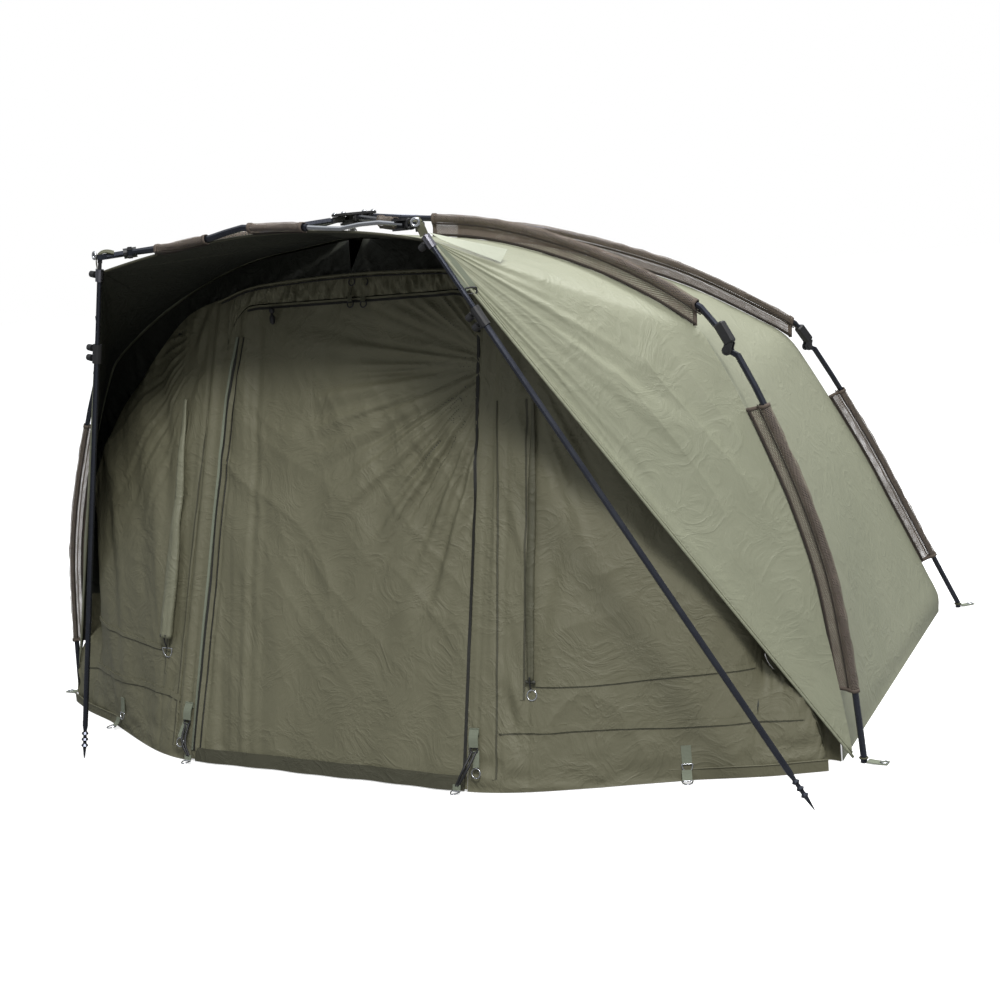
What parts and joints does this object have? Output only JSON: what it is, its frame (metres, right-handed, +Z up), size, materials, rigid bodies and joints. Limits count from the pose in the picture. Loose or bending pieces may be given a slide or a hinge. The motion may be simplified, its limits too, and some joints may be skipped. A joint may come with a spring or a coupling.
{
  "type": "bivvy_tent",
  "caption": "Green one-person bivvy tent: pivot hub, six dark ribs in mesh sleeves, folding legs, screw storm poles, brow bar, closed front with zipped door.",
  "frame": {"origin": "On the ground, in the middle of the footprint.", "axes": "+Z up. The front, with the door, faces -Y. +X is on the right of someone who looks at the front."},
  "size_m": [2.7212, 2.0937, 1.432],
  "materials": {
    "frame_tube": "satin dark grey tube",
    "black_moulding": "moulded black nylon",
    "bright_metal": "polished",
    "canopy_cloth": "coated ripstop, light olive",
    "front_cloth": "coated cloth, dark olive",
    "sleeve_mesh": "open taupe mesh",
    "webbing": "woven grey-green tape"
  },
  "bodies": {
    "tent": {"hub_block": "black_moulding", "hub_cover_plate": "black_moulding", "roof_peak": "canopy_cloth", "rear_panel": "canopy_cloth", "arch_band": "front_cloth", "wing_right": "canopy_cloth", "wing_left": "canopy_cloth", "side_panel_right": "canopy_cloth", "side_panel_left": "canopy_cloth", "front_panel_right": "front_cloth", "front_panel_left": "front_cloth"},
    "door": {"door": "front_cloth"},
    "rear_rib_right": {"rear_rib_right": "frame_tube", "rear_knuckle_right": "black_moulding", "rear_sleeve_upper_right": "sleeve_mesh"},
    "rear_rib_left": {"rear_rib_left": "frame_tube", "rear_knuckle_left": "black_moulding", "rear_sleeve_upper_left": "sleeve_mesh"},
    "side_rib_right": {"side_rib_right": "frame_tube", "side_knuckle_right": "black_moulding", "side_sleeve_upper_right": "sleeve_mesh"},
    "side_rib_left": {"side_rib_left": "frame_tube", "side_knuckle_left": "black_moulding", "side_sleeve_upper_left": "sleeve_mesh"},
    "front_rib_right": {"front_rib_right": "frame_tube", "bar_coupler_right": "black_moulding"},
    "front_rib_left": {"front_rib_left": "frame_tube", "bar_coupler_left": "black_moulding"},
    "side_leg_right": {"side_leg_right": "frame_tube", "side_foot_tab_right": "webbing", "side_sleeve_lower_right": "sleeve_mesh"},
    "side_leg_left": {"side_leg_left": "frame_tube", "side_foot_tab_left": "webbing", "side_sleeve_lower_left": "sleeve_mesh"},
    "rear_leg_right": {"rear_leg_right": "frame_tube", "rear_foot_tab_right": "webbing", "rear_sleeve_lower_right": "sleeve_mesh"},
    "rear_leg_left": {"rear_leg_left": "frame_tube", "rear_foot_tab_left": "webbing", "rear_sleeve_lower_left": "sleeve_mesh"},
    "brow_bar": {"brow_bar": "frame_tube", "brow_rod": "bright_metal", "brow_sleeve_left": "sleeve_mesh", "brow_sleeve_right": "sleeve_mesh"},
    "pole_upper_right": {"corner_swivel_right": "bright_metal", "pole_collar_right": "black_moulding", "pole_rod_right": "frame_tube"},
    "pole_lower_right": {"pole_tube_right": "frame_tube", "pole_clamp_right": "black_moulding"},
    "collar_knob_right": {"collar_knob_right": "black_moulding"},
    "clamp_upper_knob_right": {"clamp_upper_knob_right": "black_moulding"},
    "clamp_lower_knob_right": {"clamp_lower_knob_right": "black_moulding"},
    "pole_upper_left": {"corner_swivel_left": "bright_metal", "pole_collar_left": "black_moulding", "pole_rod_left": "frame_tube"},
    "pole_lower_left": {"pole_tube_left": "frame_tube", "pole_clamp_left": "black_moulding"},
    "collar_knob_left": {"collar_knob_left": "black_moulding"},
    "clamp_upper_knob_left": {"clamp_upper_knob_left": "black_moulding"},
    "clamp_lower_knob_left": {"clamp_lower_knob_left": "black_moulding"}
  },
  "joints": [
    {"name": "rear_rib_fold_right", "type": "hinge", "parent": "tent", "child": "rear_rib_right", "pos_m": [0.02992, -0.51744, 1.417], "axis": [-0.8012, 0.5984, 0], "range_deg": [0, 38], "deforming": ["roof_peak", "rear_panel", "arch_band", "wing_right", "wing_left", "side_panel_right", "side_panel_left", "front_panel_right", "front_panel_left", "door", "side_sleeve_upper_right", "side_sleeve_upper_left", "side_sleeve_lower_right", "side_sleeve_lower_left", "rear_sleeve_upper_right", "rear_sleeve_upper_left", "rear_sleeve_lower_right", "rear_sleeve_lower_left", "brow_sleeve_left", "brow_sleeve_right", "side_foot_tab_right", "side_foot_tab_left", "rear_foot_tab_right", "rear_foot_tab_left"]},
    {"name": "rear_rib_fold_left", "type": "hinge", "parent": "tent", "child": "rear_rib_left", "pos_m": [-0.02992, -0.51744, 1.417], "axis": [-0.8012, -0.5984, 0], "range_deg": [0, 38]},
    {"name": "side_rib_fold_right", "type": "hinge", "parent": "tent", "child": "side_rib_right", "pos_m": [0.04998, -0.55612, 1.417], "axis": [-0.0277, 0.9996, 0], "range_deg": [0, 38]},
    {"name": "side_rib_fold_left", "type": "hinge", "parent": "tent", "child": "side_rib_left", "pos_m": [-0.04998, -0.55612, 1.417], "axis": [-0.0277, -0.9996, 0], "range_deg": [0, 38]},
    {"name": "front_rib_fold_right", "type": "hinge", "parent": "tent", "child": "front_rib_right", "pos_m": [0.03664, -0.59152, 1.417], "axis": [0.6805, 0.7327, 0], "range_deg": [0, 38]},
    {"name": "front_rib_fold_left", "type": "hinge", "parent": "tent", "child": "front_rib_left", "pos_m": [-0.03664, -0.59152, 1.417], "axis": [0.6805, -0.7327, 0], "range_deg": [0, 38]},
    {"name": "side_knuckle_fold_right", "type": "hinge", "parent": "side_rib_right", "child": "side_leg_right", "pos_m": [1.02477, -0.52912, 1.01392], "axis": [-0.0277, 0.9996, 0], "range_deg": [0, 126]},
    {"name": "side_knuckle_fold_left", "type": "hinge", "parent": "side_rib_left", "child": "side_leg_left", "pos_m": [-1.02477, -0.52912, 1.01392], "axis": [-0.0277, -0.9996, 0], "range_deg": [0, 126]},
    {"name": "rear_knuckle_fold_right", "type": "hinge", "parent": "rear_rib_right", "child": "rear_leg_right", "pos_m": [0.84259, 0.57057, 0.91823], "axis": [-0.8012, 0.5984, 0], "range_deg": [0, 135]},
    {"name": "rear_knuckle_fold_left", "type": "hinge", "parent": "rear_rib_left", "child": "rear_leg_left", "pos_m": [-0.84259, 0.57057, 0.91823], "axis": [-0.8012, -0.5984, 0], "range_deg": [0, 135]},
    {"name": "brow_bar_swing", "type": "hinge", "parent": "front_rib_left", "child": "brow_bar", "pos_m": [-0.41868, -0.97813, 1.37983], "axis": [0, 0, -1], "range_deg": [0, 95]},
    {"name": "pole_swivel_right", "type": "hinge", "parent": "front_rib_right", "child": "pole_upper_right", "pos_m": [0.491, -1.0135, 1.375], "axis": [-0.6805, -0.7327, 0], "range_deg": [-20, 60]},
    {"name": "pole_slide_right", "type": "slide", "parent": "pole_upper_right", "child": "pole_lower_right", "axis": [0.4984, 0.1014, -0.861], "range_m": [-0.155, 0.5]},
    {"name": "collar_knob_right_turn", "type": "hinge", "parent": "pole_upper_right", "child": "collar_knob_right", "pos_m": [0.50483, -1.00815, 1.32963], "axis": [-0.8669, 0.0583, -0.495], "range_deg": [0, 270]},
    {"name": "clamp_upper_knob_right_turn", "type": "hinge", "parent": "pole_lower_right", "child": "clamp_upper_knob_right", "pos_m": [0.60012, -0.98848, 1.16262], "axis": [-0.8669, 0.0583, -0.495], "range_deg": [0, 270]},
    {"name": "clamp_lower_knob_right_turn", "type": "hinge", "parent": "pole_lower_right", "child": "clamp_lower_knob_right", "pos_m": [0.6133, -0.9858, 1.13986], "axis": [-0.8669, 0.0583, -0.495], "range_deg": [0, 270]},
    {"name": "pole_swivel_left", "type": "hinge", "parent": "front_rib_left", "child": "pole_upper_left", "pos_m": [-0.491, -1.0135, 1.375], "axis": [-0.6805, 0.7327, 0], "range_deg": [-20, 60]},
    {"name": "pole_slide_left", "type": "slide", "parent": "pole_upper_left", "child": "pole_lower_left", "axis": [-0.2043, -0.0171, -0.9788], "range_m": [-0.155, 0.5]},
    {"name": "collar_knob_left_turn", "type": "hinge", "parent": "pole_upper_left", "child": "collar_knob_left", "pos_m": [-0.51106, -1.01426, 1.33169], "axis": [-0.9789, 0.0036, 0.2043], "range_deg": [0, 270]},
    {"name": "clamp_upper_knob_left_turn", "type": "hinge", "parent": "pole_lower_left", "child": "clamp_upper_knob_left", "pos_m": [-0.55172, -1.01755, 1.14276], "axis": [-0.9789, 0.0036, 0.2043], "range_deg": [0, 270]},
    {"name": "clamp_lower_knob_left_turn", "type": "hinge", "parent": "pole_lower_left", "child": "clamp_lower_knob_left", "pos_m": [-0.55712, -1.01801, 1.11688], "axis": [-0.9789, 0.0036, 0.2043], "range_deg": [0, 270]},
    {"name": "door_drop", "type": "hinge", "parent": "tent", "child": "door", "pos_m": [0, -0.9705, 0], "axis": [1, 0, 0], "range_deg": [0, 105]}
  ],
  "couplings": [
    {"joint": "rear_rib_fold_left", "follows": "rear_rib_fold_right", "ratio": 1},
    {"joint": "side_rib_fold_right", "follows": "rear_rib_fold_right", "ratio": 1},
    {"joint": "side_rib_fold_left", "follows": "rear_rib_fold_right", "ratio": 1},
    {"joint": "front_rib_fold_left", "follows": "front_rib_fold_right", "ratio": 1},
    {"joint": "brow_bar_swing", "follows": "front_rib_fold_right", "ratio": 2.5}
  ]
}
